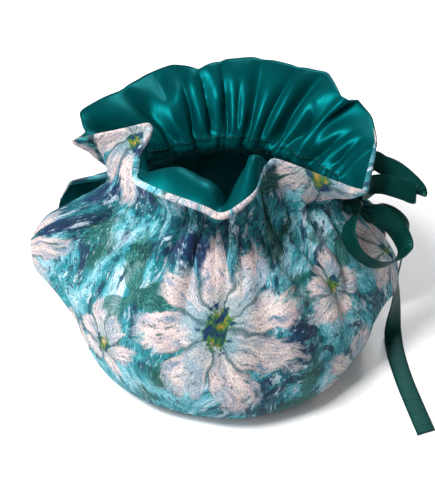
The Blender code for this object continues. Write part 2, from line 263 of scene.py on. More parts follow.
# %% Small puckers, dents and the drawstring channel
PUCKER_COUNT = 56
CHANNEL_HALF = 6.0
CHANNEL_SWELL = 0.35
STITCH_SINK = 0.5
STITCH_HALF = 0.9
SEAM_SINK = 0.9
SEAM_HALF = 0.9
CREASE_START = 0.28
# Creases listed one by one: turn and millimetres above the neck at both ends, half width in degrees, depth
CREASES = (
    (288, 4, 294, -38, 3.2, 4.2), (292.5, -20, 310, -70, 2.8, 4.6), (307, 4, 319, -78, 3.2, 6.0),
    (325, 4, 325, -58, 2.6, 4.4), (330, -30, 311, -94, 3.0, 3.6), (341, 3, 333, -70, 2.8, 4.0),
    (202, 4, 190.5, -68, 4.0, 7.5), (187, -66, 203, -104, 3.4, 3.4), (211, 4, 214, -62, 2.4, 3.4),
    (223, 4, 226, -54, 2.4, 4.0), (236, 4, 237, -60, 2.7, 3.4), (249, 4, 252, -62, 2.7, 3.2),
    (261, 4, 262, -46, 2.6, 2.4), (276, 4, 274, -58, 2.7, 3.2), (20, 3, 24, -42, 2.3, 2.4),
    (44, 3, 41, -54, 2.4, 2.6), (61, 3, 63, -40, 2.0, 2.4), (80, 3, 78, -58, 2.4, 2.8),
    (98, 3, 100, -44, 2.2, 2.6), (116, 3, 114, -60, 2.4, 2.6), (134, 3, 136, -42, 2.2, 2.4),
    (153, 3, 150, -50, 2.4, 2.4), (103, 0, 112, 64, 3.6, -5.6), (92, 0, 98, 62, 3.0, -4.4),
    (76, -2, 80, 66, 3.4, -6.0), (67, 0, 65, 64, 2.8, -4.4), (56, -2, 54, 62, 3.6, -6.6),
    (45, 0, 38, 58, 3.2, -5.2), (38, 4, 46, 40, 2.2, -2.6), (134, 0, 147, 54, 4.6, -6.4),
    (150, 0, 165, 46, 4.0, -5.0), (131, 30, 131, 62, 3.0, -2.6), (119, 0, 121, 54, 3.0, -3.4),
    (28, -2, 15, 36, 3.4, -3.6), (85, 4, 88, 46, 2.2, -2.4), (12, 6, 8, 34, 2.8, -2.4),
    (246, 2, 243, 30, 2.6, 2.6), (258, 2, 262, 36, 2.8, 2.2), (228, 2, 231, 38, 2.8, 3.4),
    (206, 3, 204, 36, 2.6, 2.2), (338, 3, 342, 30, 3.0, 1.8), (290, 8, 292, 40, 2.4, 2.4),
)
dice = np.random.default_rng(24)
PUCKERS = [
    (index * 360.0 / PUCKER_COUNT + dice.uniform(-2.4, 2.4), dice.uniform(1.9, 3.0), dice.uniform(0.6, 2.0),
     dice.uniform(16.0, 78.0), dice.uniform(10.0, 46.0), dice.uniform(-0.09, 0.09))
    for index in range(PUCKER_COUNT)
]
DENTS = [
    (int(dice.integers(2, 15)), dice.uniform(2.0, 13.0), dice.uniform(0.0, 2 * math.pi),
     dice.uniform(0.1, 0.26))
    for _ in range(26)
]


def small_relief(turn, climb, above):
    """How far the cloth stands out from the main shape; above is the way along the cloth from the neck."""
    relief = np.zeros(turn.shape)
    for middle, width, depth, down, up, slant in PUCKERS:
        reach = np.where(above < 0.0, down, up)
        fade = np.clip(1.0 - np.abs(above) / reach, 0.0, 1.0) ** 1.3
        bend = middle + slant * above
        relief -= depth * fade * hump(apart(turn, bend), width)
    for turn_0, above_0, turn_1, above_1, width, depth in CREASES:
        share = (above - above_0) / (above_1 - above_0)
        inside = np.clip(share, 0.0, 1.0)
        fade = ease(share / CREASE_START) * (1.0 - inside ** (2 if above_1 < above_0 else 4))
        off = apart(turn, turn_0 + (turn_1 - turn_0) * inside) / width
        relief -= depth * fade * (1.2 * hump(off, 1.0) - 0.4 * hump(off, 2.4))
    for waves, rows, start, height in DENTS:
        wave = np.sin(np.radians(turn) * waves + climb * rows + start)
        relief += height * wave * np.minimum(1.0, climb * 4.0)
    inside = np.clip(1.0 - (above / CHANNEL_HALF) ** 2, 0.0, 1.0)
    relief += CHANNEL_SWELL * inside
    for row in (-CHANNEL_HALF, CHANNEL_HALF):
        relief -= STITCH_SINK * hump(above - row, STITCH_HALF)
    return relief


print(len(PUCKERS), "puckers and", len(DENTS), "shallow waves")

# %% [markdown]
# A panel is a grid of places. Its way out of the surface comes from the grid itself: the step round the cosy
# crossed with the step up it. Each cloth is then a thin closed shell, with its own thickness to one side of
# the shared middle, so outer cloth and lining follow the same folds. On the inner side of a tight fold there
# is little room, so the cloth there is squashed thinner, or it would come through the other one.

# %% Panels as grids, and a thin closed shell from a grid
# Share of a fold's own radius that a cloth may fill, and the least share of its thickness that it keeps
ROOM = 0.43
LEAST_SHARE = 0.28
SQUASH_SPREAD = 4
SQUASH_ROUNDS = 3
# Metres of flat cloth for each radian of turn
FLAT_RADIUS = 0.101


def ways_out(places):
    """The unit way out of the cloth at each place of a grid."""
    across = np.gradient(places, axis=1)
    upward = np.gradient(places, axis=0)
    out = np.cross(across, upward)
    return out / np.maximum(np.linalg.norm(out, axis=-1, keepdims=True), 1e-9)


def run_up(places):
    """Length along the cloth from the first row, for each column."""
    steps = np.linalg.norm(np.diff(places, axis=0), axis=-1)
    return np.vstack((np.zeros((1, places.shape[1])), np.cumsum(steps, axis=0)))


def panel_grid(turns, climbs, front):
    """One panel's middle with its fine relief, and the length up the cloth."""
    turn, climb = np.meshgrid(turns, climbs)
    plain = main_shape(turn, climb, front)
    length = run_up(plain)
    neck_row = int(np.argmin(np.abs(climbs - 1.0)))
    relief = small_relief(turn, climb, length - length[neck_row])
    seam = hump(apart(turn, 0.0), SEAM_HALF) + hump(apart(turn, 180.0), SEAM_HALF)
    closed = (climb > 1.0) | (climb * NECK_HEIGHT < OPENING_FOOT)
    relief -= SEAM_SINK * seam * closed
    return plain + ways_out(plain) * relief[..., None], length


def squash(middle, out, side):
    """Share of its thickness that the cloth on one side keeps where a fold leaves it little room."""
    bend = np.gradient(np.gradient(middle, axis=1), axis=1)
    step = np.linalg.norm(np.gradient(middle, axis=1), axis=-1)
    curve = side * (bend * out).sum(axis=-1) / step ** 2
    share = np.clip(ROOM / np.maximum(curve, 1e-6), LEAST_SHARE, 1.0)
    near = [np.roll(share, shift, axis=1) for shift in range(-SQUASH_SPREAD, SQUASH_SPREAD + 1)]
    share = np.min(near, axis=0)
    for axis in (0, 1):
        for _ in range(SQUASH_ROUNDS):
            places = np.arange(share.shape[axis])
            parts = [np.take(share, np.clip(places + step, 0, places[-1]), axis) for step in (-1, 0, 1)]
            share = (parts[0] + 2.0 * parts[1] + parts[2]) / 4.0
    return share


def flat_map(turns, upward):
    """Places on the flat cloth, in metres."""
    return np.stack((np.broadcast_to(np.radians(turns) * FLAT_RADIUS, upward.shape), upward), axis=-1)


def make_piece(name, mesh, uv, material):
    """Give a mesh its UV map, soft shading and a material, and put it in the scene."""
    uv = uv.reshape(-1, 2)
    layer = mesh.uv_layers.new(name="cloth")
    corners = np.zeros(len(mesh.loops), int)
    mesh.loops.foreach_get("vertex_index", corners)
    layer.data.foreach_set("uv", uv[corners % len(uv)].ravel())
    mesh.shade_smooth()
    mesh.materials.append(material)
    piece = bpy.data.objects.new(name, mesh)
    bpy.context.scene.collection.objects.link(piece)
    return piece


def shell(name, middle, offset, uv, material):
    """A closed thin mesh, half on each side of a grid."""
    rows, columns = middle.shape[:2]
    size = rows * columns
    index = np.arange(size).reshape(rows, columns)
    quads = np.stack((index[:-1, :-1], index[:-1, 1:], index[1:, 1:], index[1:, :-1]), axis=-1).reshape(-1, 4)
    border = np.concatenate((index[0, :-1], index[:-1, -1], index[-1, :0:-1], index[:0:-1, 0]))
    after = np.roll(border, -1)
    sides = np.stack((border + size, after + size, after, border), axis=-1)
    points = np.concatenate(((middle + offset).reshape(-1, 3), (middle - offset).reshape(-1, 3))) * MM
    mesh = bpy.data.meshes.new(name)
    mesh.from_pydata(points.tolist(), [], np.concatenate((quads, quads[:, ::-1] + size, sides)).tolist())
    return make_piece(name, mesh, uv, material)


def dress(piece, node):
    """Let a finished piece stand for its CAD node."""
    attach(piece, "root")
    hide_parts(node)
    faces = sum(len(face.vertices) - 2 for face in piece.data.polygons)
    print(piece.name, faces, "triangles")


# %% [markdown]
# A material is a small net of nodes, and so is a Geometry Nodes tree. These helpers add a node and join
# it in one line, so that the dyes below stay short.

# %% Helpers for building materials
class Network:
    """Adds and joins the nodes of one tree."""

    def __init__(self, tree):
        self.tree = tree

    def put(self, socket, value):
        """Join an output to a socket, or set the socket to a plain value."""
        if isinstance(value, bpy.types.NodeSocket):
            self.tree.links.new(value, socket)
        elif socket.type == "RGBA" and len(value) == 3:
            socket.default_value = (*value, 1.0)
        else:
            socket.default_value = value

    def add(self, kind, values=(), **settings):
        """Add a node with its settings, give its inputs values by name or in turn, and return its outputs."""
        made = self.tree.nodes.new(kind)
        for name, setting in settings.items():
            setattr(made, name, setting)
        for name, value in values.items() if isinstance(values, dict) else enumerate(values):
            self.put(made.inputs[name], value)
        return made.outputs

    def maths(self, operation, first, second=0.0, third=0.0):
        return self.add("ShaderNodeMath", (first, second, third), operation=operation)[0]

    def vector(self, operation, first, second=(0.0, 0.0, 0.0), scale=1.0):
        values = {0: first, "Scale": scale} if operation == "SCALE" else (first, second)
        outputs = self.add("ShaderNodeVectorMath", values, operation=operation)
        return outputs["Value" if operation == "LENGTH" else "Vector"]

    def join(self, x, y, z=0.0):
        return self.add("ShaderNodeCombineXYZ", (x, y, z))[0]


class Dye(Network):
    """The net of one material."""

    def __init__(self, name):
        self.material = bpy.data.materials.new(name)
        self.material.use_nodes = True
        super().__init__(self.material.node_tree)
        self.shader = self.tree.nodes["Principled BSDF"]

    def parts(self, vector):
        return self.add("ShaderNodeSeparateXYZ", (vector,))

    def noise(self, vector, scale, detail=2.0, roughness=0.5, distortion=0.0, colour=False):
        values = {"Vector": vector, "Scale": scale, "Detail": detail, "Roughness": roughness,
                  "Distortion": distortion}
        return self.add("ShaderNodeTexNoise", values)["Color" if colour else "Fac"]

    def fade(self, value, low, high, to_low=0.0, to_high=1.0):
        values = (value, low, high, to_low, to_high)
        return self.add("ShaderNodeMapRange", values, interpolation_type="SMOOTHSTEP")[0]

    def ramp(self, value, stops):
        made = self.tree.nodes.new("ShaderNodeValToRGB")
        ramp = made.color_ramp
        while len(ramp.elements) < len(stops):
            ramp.elements.new(0.5)
        for element, (place, colour) in zip(ramp.elements, stops):
            element.position = place
            element.color = (*colour, 1.0)
        self.put(made.inputs[0], value)
        return made.outputs["Color"]

    def mix(self, share, first, second, blend="MIX"):
        values = {0: share, 6: first, 7: second}
        return self.add("ShaderNodeMix", values, data_type="RGBA", blend_type=blend)[2]

    def tint(self, under, value, low, high, most, paint):
        """Lay a paint over a colour as a value goes from low to high."""
        return self.mix(self.fade(value, low, high, 0.0, most), under, paint)

    def swing(self, value, most):
        """A noise from 0 to 1, made to swing about zero."""
        return self.maths("MULTIPLY", self.maths("SUBTRACT", value, 0.5), most)

    def stretch(self, vector, upward):
        return self.vector("MULTIPLY", vector, (1.0, upward, 1.0))

    def cloth_map(self):
        return self.add("ShaderNodeUVMap", uv_map="cloth")["UV"]

    def object_place(self):
        return self.add("ShaderNodeTexCoord")["Object"]

    def bump(self, height, strength, distance):
        values = {"Strength": strength, "Distance": distance, "Height": height}
        self.set(Normal=self.add("ShaderNodeBump", values)["Normal"])

    def set(self, **values):
        """Set the inputs of the shader."""
        for name, value in values.items():
            self.put(self.shader.inputs[name.replace("_", " ")], value)


# %% [markdown]
# The print is a painted-looking flower design: loose pale blossoms and dark leaves over blue and turquoise
# brush strokes. It is a plain half-drop repeat made only from sums. Each blossom is a wavy circle in polar
# form, so a petal is one wave round the middle, and its paint streaks run out from the middle. The middle of
# every blossom is turned by its own random angle, so that the repeat isn't seen at once.

# %% Printed cotton
REPEAT = (0.272, 0.156)
LEAF_REPEAT = (0.125, 0.143)
LEAF_MIDDLE = (0.027, 0.017)
THREAD_PITCH = 0.0006
# Middle of each blossom on the flat cloth, reach of its petals, number of petals, depth of the gaps
BLOSSOMS = (
    ((0.350, 0.170), 0.036, 6.0, 0.40), ((0.575, 0.168), 0.038, 7.0, 0.40),
    ((0.560, 0.086), 0.032, 5.0, 0.42), ((0.392, 0.050), 0.030, 6.0, 0.42),
    ((0.470, 0.080), 0.062, 8.0, 0.42),
)


def one_repeat(dye, value, middle, repeat, shift):
    """Number of the repeat along one axis, and the way from its middle."""
    along = dye.maths("DIVIDE", dye.maths("SUBTRACT", value, middle), repeat)
    along = dye.maths("ADD", along, shift)
    number = dye.maths("FLOOR", along)
    return number, dye.swing(dye.maths("SUBTRACT", along, number), repeat)


def half_drop(dye, place, middle, repeat):
    """Place from the nearest middle of a half-drop repeat, and a random number for that one."""
    u, v, _ = dye.parts(place)
    column, x = one_repeat(dye, u, middle[0], repeat[0], 0.5)
    drop = dye.maths("MULTIPLY_ADD", dye.maths("FLOORED_MODULO", column, 2.0), 0.5, 0.5)
    row, y = one_repeat(dye, v, middle[1], repeat[1], drop)
    own = {"Vector": dye.join(column, row, middle[0])}
    return x, y, dye.add("ShaderNodeTexWhiteNoise", own, noise_dimensions="3D")["Value"]


def motif(dye, place, middle, repeat, reach, petals, thin, waist):
    """A repeat of blossoms: petal mask, gaps between petals, broad and fine streaks, way from the middle."""
    x, y, number = half_drop(dye, place, middle, repeat)
    away = dye.vector("LENGTH", dye.join(x, y))
    turn = dye.maths("ADD", dye.maths("ARCTAN2", y, x), dye.maths("MULTIPLY", number, 2 * math.pi))
    wave = dye.maths("ABSOLUTE", dye.maths("COSINE", dye.maths("MULTIPLY", turn, petals / 2.0)))
    shape = dye.maths("POWER", wave, thin)
    own_reach = dye.maths("MULTIPLY_ADD", number, 0.25 * reach, 0.85 * reach)
    edge = dye.maths("MULTIPLY", dye.maths("MULTIPLY_ADD", shape, 1.0 - waist, waist), own_reach)
    q = dye.maths("DIVIDE", away, edge)
    spread = dye.join(dye.maths("COSINE", turn), dye.maths("SINE", turn),
                      dye.maths("MULTIPLY", away, 9.0))
    broad = dye.noise(spread, 6.0, 4.0, 0.6)
    fine = dye.noise(spread, 19.0, 4.0, 0.7)
    rough = dye.maths("ADD", dye.swing(broad, 0.8), dye.swing(fine, 0.35))
    mask = dye.fade(dye.maths("ADD", q, rough), 0.80, 0.99, 1.0, 0.0)
    gap = dye.fade(wave, 0.0, 0.42, 1.0, 0.0)
    return mask, gap, broad, fine, dye.maths("DIVIDE", away, reach)


def brush(dye, swept, width, length, turned):
    """Paint strokes of a width and length in metres, laid at an angle in degrees."""
    values = {"Vector": swept, "Rotation": (0.0, 0.0, math.radians(turned)),
              "Scale": (1.0, width / length, 1.0)}
    return dye.noise(dye.add("ShaderNodeMapping", values)["Vector"], 0.5 / width, 5.0, 0.66)


def carried(dye, flat, scale, detail, roughness, most):
    """The flat cloth's places, carried about by a soft noise."""
    drift = dye.noise(flat, scale, detail, roughness, colour=True)
    drift = dye.vector("SCALE", dye.vector("SUBTRACT", drift, (0.5, 0.5, 0.5)), scale=most)
    return dye.vector("ADD", flat, drift)


def printed_cotton(name):
    """Painted flowers on blue, in the flat cloth's own metres."""
    dye = Dye(name)
    flat = dye.cloth_map()
    place = carried(dye, flat, 22.0, 3.0, 0.6, 0.030)
    swept = carried(dye, flat, 8.0, 2.0, 0.5, 0.16)

    wash = dye.noise(swept, 15.0, 6.0, 0.66, 0.7)
    ground = dye.ramp(wash, (
        (0.33, (0.0, 0.016, 0.075)), (0.41, (0.0, 0.050, 0.115)), (0.47, (0.0, 0.115, 0.145)),
        (0.53, (0.03, 0.255, 0.29)), (0.59, (0.18, 0.40, 0.45)), (0.66, (0.42, 0.53, 0.60)),
        (0.76, (0.60, 0.60, 0.64)),
    ))
    broad = brush(dye, swept, 0.0046, 0.024, 8.0)
    ground = dye.tint(ground, broad, 0.46, 0.37, 0.9, (0.0, 0.040, 0.085))
    ground = dye.tint(ground, broad, 0.56, 0.63, 0.6, (0.15, 0.41, 0.46))
    pale = brush(dye, swept, 0.0040, 0.014, -38.0)
    ground = dye.tint(ground, pale, 0.55, 0.64, 0.75, (0.50, 0.56, 0.61))
    green = dye.noise(swept, 15.0, 4.0, 0.65)
    ground = dye.tint(ground, green, 0.56, 0.64, 0.8, (0.0, 0.090, 0.065))
    bristle = brush(dye, swept, 0.0010, 0.009, 4.0)
    ground = dye.tint(ground, bristle, 0.56, 0.68, 0.6, (0.48, 0.60, 0.64))
    ground = dye.tint(ground, bristle, 0.45, 0.34, 0.85, (0.0, 0.04, 0.07))

    mask, _, _, fine, _ = motif(dye, place, LEAF_MIDDLE, LEAF_REPEAT, 0.038, 3.0, 2.2, 0.12)
    leaf = dye.ramp(fine, (
        (0.36, (0.0, 0.035, 0.05)), (0.5, (0.0, 0.10, 0.07)), (0.64, (0.12, 0.27, 0.22)),
    ))
    ground = dye.mix(dye.maths("MULTIPLY", mask, 0.7), ground, leaf)

    for middle, reach, petals, waist in BLOSSOMS:
        mask, gap, broad, fine, away = motif(dye, place, middle, REPEAT, reach, petals, 0.5, waist)
        petal = dye.ramp(broad, (
            (0.28, (0.10, 0.19, 0.24)), (0.38, (0.28, 0.31, 0.37)), (0.46, (0.47, 0.40, 0.41)),
            (0.55, (0.56, 0.475, 0.455)), (0.68, (0.64, 0.58, 0.55)),
        ))
        tone = dye.noise(place, 34.0, 3.0, 0.6)
        petal = dye.tint(petal, tone, 0.52, 0.36, 0.75, (0.25, 0.34, 0.40))
        petal = dye.tint(petal, tone, 0.55, 0.66, 0.6, (0.61, 0.47, 0.46))
        petal = dye.tint(petal, fine, 0.44, 0.36, 0.85, (0.06, 0.13, 0.13))
        petal = dye.tint(petal, fine, 0.56, 0.66, 0.6, (0.68, 0.63, 0.61))
        near = dye.fade(away, 0.10, 0.5, 1.0, 0.0)
        petal = dye.mix(dye.maths("MULTIPLY", near, 0.55), petal, (0.12, 0.27, 0.30))
        petal = dye.mix(dye.maths("MULTIPLY", gap, 0.75), petal, (0.03, 0.09, 0.10))
        ground = dye.mix(dye.maths("MULTIPLY", mask, 0.96), ground, petal)
        seeds = dye.noise(place, 170.0, 3.0, 0.6)
        heart = dye.ramp(seeds, (
            (0.38, (0.0, 0.03, 0.11)), (0.46, (0.0, 0.10, 0.09)), (0.54, (0.10, 0.20, 0.02)),
            (0.60, (0.30, 0.20, 0.04)), (0.68, (0.45, 0.36, 0.20)),
        ))
        centre = dye.maths("ADD", away, dye.swing(seeds, 0.5))
        ground = dye.mix(dye.fade(centre, 0.13, 0.20, 0.95, 0.0), ground, heart)

    grain = dye.noise(dye.stretch(flat, 0.6), 1100.0, 3.0, 0.7)
    deep = dye.add("ShaderNodeGamma", {"Color": ground, "Gamma": 1.3})["Color"]
    shade = dye.ramp(grain, (
        (0.34, (0.62, 0.64, 0.67)), (0.5, (1.12, 1.13, 1.14)), (0.66, (1.6, 1.6, 1.6)),
    ))
    colour = dye.mix(1.0, deep, shade, "MULTIPLY")
    u, v, _ = dye.parts(flat)
    waves = [dye.maths("MULTIPLY", way, 2 * math.pi / THREAD_PITCH) for way in (u, v)]
    weave = dye.maths("MULTIPLY", *(dye.maths("SINE", wave) for wave in waves))
    height = dye.maths("ADD", dye.maths("MULTIPLY", weave, 0.35), dye.maths("MULTIPLY", grain, 1.6))
    dye.bump(height, 0.5, 0.0005)
    dye.set(Base_Color=colour, Roughness=dye.fade(grain, 0.3, 0.7, 0.78, 0.92),
            Sheen_Weight=0.06, Sheen_Roughness=0.5, Specular_IOR_Level=0.25)
    return dye.material


# %% [markdown]
# Satin floats its threads on one face, so it shines in long soft streaks that run across the folds. An
# anisotropic gloss does this, with a very fine rib for the threads. The grosgrain's colour has painted shade
# between its cords and a painted highlight on their crests, so the size of its ribs is set here, and the mesh
# takes the same size later.

# %% Satin lining and ribbon
RIB_PITCH = 1.6
RIB_HEIGHT = 0.2


def satin(name):
    dye = Dye(name)
    flat = dye.cloth_map()
    cloudy = dye.noise(flat, 30.0, 3.0, 0.5)
    colour = dye.mix(dye.fade(cloudy, 0.3, 0.7), (0.0003, 0.046, 0.051), (0.0004, 0.064, 0.070))
    threads = dye.noise(dye.stretch(flat, 0.08), 2600.0, 2.0, 0.5)
    creases = dye.noise(dye.stretch(flat, 0.25), 90.0, 3.0, 0.5)
    height = dye.maths("MULTIPLY_ADD", threads, 0.05, dye.maths("MULTIPLY", creases, 0.6))
    dye.bump(height, 0.5, 0.001)
    dye.set(Base_Color=colour, Roughness=dye.fade(threads, 0.3, 0.7, 0.36, 0.46), Metallic=0.5,
            Specular_IOR_Level=0.05, Specular_Tint=(0.1, 0.85, 0.9, 1.0), Anisotropic=0.6)
    return dye.material


def grosgrain(name):
    dye = Dye(name)
    flat = dye.cloth_map()
    cloudy = dye.noise(flat, 60.0, 3.0, 0.5)
    colour = dye.mix(dye.fade(cloudy, 0.3, 0.7), (0.0003, 0.008, 0.0065), (0.0006, 0.014, 0.011))
    # Painted light: each cord's crest gets a lighter colour as a painted highlight, and the hollows between
    # the cords keep the darker colour as painted shade. The cords are also raised in the mesh.
    along = dye.maths("MULTIPLY", dye.parts(flat)[1], math.pi / (RIB_PITCH * MM))
    painted_rib_light = dye.maths("POWER", dye.maths("ABSOLUTE", dye.maths("SINE", along)), 1.5)
    colour = dye.mix(dye.maths("MULTIPLY", painted_rib_light, 0.8), colour, (0.001, 0.034, 0.028))
    fibres = dye.noise(dye.stretch(flat, 0.15), 5000.0, 2.0, 0.5)
    dye.bump(fibres, 0.3, 0.0001)
    dye.set(Base_Color=colour, Roughness=dye.fade(fibres, 0.3, 0.7, 0.34, 0.44),
            Specular_IOR_Level=0.22, Specular_Tint=(0.2, 1.0, 0.95, 1.0))
    return dye.material


def thread(name, colour):
    dye = Dye(name)
    twist = dye.noise(dye.object_place(), 3000.0, 1.0, 0.5)
    shade = tuple(0.7 * part for part in colour)
    dye.set(Base_Color=dye.mix(dye.fade(twist, 0.3, 0.7), shade, colour),
            Roughness=dye.fade(twist, 0.3, 0.7, 0.45, 0.6))
    return dye.material


PRINT = printed_cotton("printed cotton")
SATIN = satin("teal satin")
RIBBON = grosgrain("green grosgrain ribbon")
THREAD = thread("teal thread", (0.001, 0.07, 0.08))
print("materials:", PRINT.name, SATIN.name, RIBBON.name, THREAD.name)

# %% [markdown]
# The outer panel is turned over the lining's raw edge at the rim and turned under at the hem. At the front
# the roll shows as a narrow printed strip inside the rim, and at the back the seam sits on the edge itself.
# The roll is a half circle in the plane of the way up and the way out.

# %% Outer panels
OUTER_COLUMNS = 236
LINING_COLUMNS = 200
OUTER_MIDDLE = 1.05
OUTER_THICK = 1.6
ROLL_ROWS = 12
EDGE_STEPS = (0.0, 0.12, 0.3, 0.6)
EDGE_TAPER = (0.35, 0.7, 0.9, 1.0)
# Height of the lowest row, share of the collar's height at the highest, offsets of the two rolled parts
OUTER_FOOT = 2.2
OUTER_TOP = 0.972
STRIP_OFFSET = -1.45
HEM_OFFSET = -1.75
HEM_LENGTH = 7.0
# Length of the rolled strip at the back of the rim, and how much longer it is at the front
STRIP_BACK = 2.4
STRIP_MORE = 3.3


def panel_turns(front, columns):
    """Turns of the columns, closer together at both side edges."""
    first = 180.0 if front else 0.0
    inner = np.linspace(1.0, 179.0, columns)
    return first + np.concatenate((EDGE_STEPS, inner, 180.0 - np.array(EDGE_STEPS[::-1])))


def side_taper(count):
    """Thickness share of each column, rounded off at both side edges."""
    taper = np.ones(count)
    taper[:4] = EDGE_TAPER
    taper[-4:] = EDGE_TAPER[::-1]
    return taper


def onward(last, before):
    """The way from one row of places to the last one."""
    return unit(last - before)


def roll_over(edge, out, ahead, start, end, length, turns_back):
    """Rows that carry a cloth round its edge: start and end are the offsets out before and after the roll."""
    middle, radius = (start + end) / 2.0, (start - end) / 2.0
    rows = []
    for share in np.linspace(0.0, 1.0, ROLL_ROWS + 1)[1:]:
        run = length * share
        angle = np.minimum(run / radius, math.pi)
        beyond = np.maximum(0.0, run - math.pi * radius)
        offset = middle + radius * np.cos(angle)
        forward = radius * np.sin(angle) - beyond
        rows.append(edge + out * offset[:, None] + ahead * forward[:, None])
    return np.array(rows if turns_back else rows[::-1])


def front_share(turns):
    """1 along the front of the rim, 0 along its back."""
    return np.clip((np.cos(np.radians(apart(turns, 270.0))) + 0.25) * 1.6, 0.0, 1.0)


def strip_length(turns):
    """How far the outer cloth runs over the rim: far at the front, hardly at the back."""
    return STRIP_BACK + STRIP_MORE * front_share(turns)


def outer_panel(name, front):
    turns = panel_turns(front, OUTER_COLUMNS)
    climbs = np.concatenate((np.linspace(OUTER_FOOT / NECK_HEIGHT, 1.0, 84),
                             1.0 + np.linspace(0.0, OUTER_TOP, 50)[1:]))
    middle, _ = panel_grid(turns, climbs, front)
    out = ways_out(middle)
    share = squash(middle, out, 1.0)
    share[:2] = share[-2:] = 1.0
    cloth = middle + out * (OUTER_MIDDLE * share)[..., None]
    over = roll_over(middle[-1], out[-1], onward(middle[-1], middle[-3]), OUTER_MIDDLE, STRIP_OFFSET,
                     strip_length(turns), True)
    under = roll_over(middle[0], out[0], onward(middle[0], middle[1]), OUTER_MIDDLE, HEM_OFFSET,
                      np.full(len(turns), HEM_LENGTH), False)
    sheet = np.concatenate((under, cloth, over))
    thick = np.full(sheet.shape[:2], OUTER_THICK)
    thick[ROLL_ROWS:-ROLL_ROWS] *= share
    thick[:ROLL_ROWS] = np.linspace(0.5, 1.1, ROLL_ROWS)[:, None]
    thick[-ROLL_ROWS:] = np.linspace(1.1, 0.7, ROLL_ROWS)[:, None]
    thick[-1] = 0.4
    half = (thick * side_taper(len(turns)))[..., None] / 2.0
    upward = run_up(sheet) * MM
    return shell(name, sheet, ways_out(sheet) * half, flat_map(turns, upward - upward[ROLL_ROWS]), PRINT)


PANELS = {}
for node, front in (("outer_front", True), ("outer_back", False)):
    PANELS[node] = outer_panel(node + "_cloth", front)
    dress(PANELS[node], node)

# %% [markdown]
# The lining is cut like the outer and lies just inside it, from above the hem to just under the rolled rim.

# %% Lining panels
LINING_MIDDLE = -0.7
LINING_SHELL = 0.9
LINING_FOOT = 3.4
LINING_TOP = 0.985
# How much further the lining runs at the back of the rim, where no strip meets it
LINING_MORE = 1.9


def lining_panel(name, front):
    turns = panel_turns(front, LINING_COLUMNS)
    climbs = np.concatenate((np.linspace(LINING_FOOT / NECK_HEIGHT, 1.0, 60),
                             1.0 + np.linspace(0.0, LINING_TOP, 52)[1:]))
    middle, length = panel_grid(turns, climbs, front)
    out = ways_out(middle)
    share = squash(middle, out, -1.0)
    thick = LINING_SHELL * share
    thick[:2] = ((0.4,), (0.7,))
    thick[-2:] = ((0.8,), (0.5,))
    half = (thick * side_taper(len(turns)))[..., None] / 2.0
    sheet = middle + out * (LINING_MIDDLE * share)[..., None]
    to_edge = onward(middle[-1], middle[-3]) * LINING_MORE * (1.0 - front_share(turns))[:, None]
    sheet[-2] += 0.5 * to_edge
    sheet[-1] += to_edge
    return shell(name, sheet, out * half, flat_map(turns, length * MM), SATIN)


for node, front in (("lining_front", True), ("lining_back", False)):
    PANELS[node] = lining_panel(node + "_cloth", front)
    dress(PANELS[node], node)

# %% [markdown]
# The ribbon is a flat strip that follows a route and turns its face as it goes. It is pinched to less than
# half its width where the knot holds it. Each route's rows give a place on the middle line and the way
# across.

# %% Ribbon routes
UPPER_LOOP = (
    (77.8, -15.6, 117.2, 0.2, 0.3, 0.93), (81, -7, 125, 0.2, 0.55, 0.81),
    (88, 4, 131.5, 0.3, 0.72, 0.62), (95, 3, 129, 0.38, 0.68, 0.62), (102.5, 1.5, 126, 0.45, 0.6, 0.66),
    (110, -3, 121.5, 0.6, 0.48, 0.64), (115.5, -8, 117, 0.78, 0.3, 0.54),
    (114.5, -10, 115.5, 0.78, 0.32, 0.54), (108, -9.5, 118, 0.62, 0.45, 0.64),
    (101, -8.5, 120, 0.5, 0.5, 0.7), (94, -7.5, 121.5, 0.42, 0.5, 0.75),
    (87, -9, 122, 0.34, 0.45, 0.82), (82, -13.5, 120.5, 0.2, 0.35, 0.92),
    (79.8, -18.4, 117.2, 0.1, 0.3, 0.93),
)
HANGING_LOOP = (
    (80.6, -22.0, 114.0, 0.4, -0.1, 0.9), (88, -25, 113, 0.7, 0.1, 0.7),
    (96, -27, 108, 0.75, 0.1, 0.65), (104, -29, 99, 0.7, -0.05, 0.71), (107, -34, 91, 0.6, -0.3, 0.74),
    (100, -42, 88, 0.45, -0.45, 0.77), (88, -47, 90, 0.35, -0.5, 0.79), (77, -46, 97, 0.3, -0.5, 0.81),
    (71, -40, 106, 0.5, -0.4, 0.77), (73, -32, 112, 0.6, -0.2, 0.75),
    (77.6, -26.0, 113.0, 0.6, 0.0, 0.8),
)
LONG_TAIL = (
    (79.4, -18.8, 111.0, 0.6, 0.5, 0.63), (87, -18, 106, 0.6, 0.5, 0.63),
    (95, -15, 105, 0.6, 0.5, 0.63), (103, -16, 101, 0.7, 0.5, 0.51), (109, -18, 94, 0.6, 0.7, 0.33),
    (111, -18, 82, 0.35, 0.9, 0.15), (111, -16, 66, 0.3, 0.95, 0.05), (111, -14, 48, 0.35, 0.94, 0.0),
    (113, -12, 30, 0.6, 0.8, 0.0), (114, -11, 14, 0.85, 0.52, 0.0), (114, -15, 4, 0.96, 0.28, 0.0),
    (113.5, -25, 0.9, 1.0, 0.0, 0.0), (113.5, -40, 0.9, 1.0, 0.04, 0.0),
    (115, -60, 0.9, 0.99, 0.12, 0.0), (118, -82, 0.9, 0.98, 0.18, 0.0),
    (121, -102, 0.9, 0.98, 0.18, 0.0),
)
SHORT_TAIL = (
    (78.4, -15.4, 111.0, 0.6, 0.3, 0.7), (82, -7, 110, 0.4, 0.1, 0.9), (87, 5, 108, 0.3, 0.2, 0.93),
    (92, 17, 103, 0.5, 0.4, 0.77), (95, 28, 94, 0.7, 0.6, 0.4), (96, 33, 84, 0.7, 0.6, 0.1),
)
RIBBON_WIDTH = 12.0
RIBBON_THICK = 0.55
RIBBON_STEP = 0.26
PINCH_WIDTH = 0.4
PINCH_RUN = 12.0
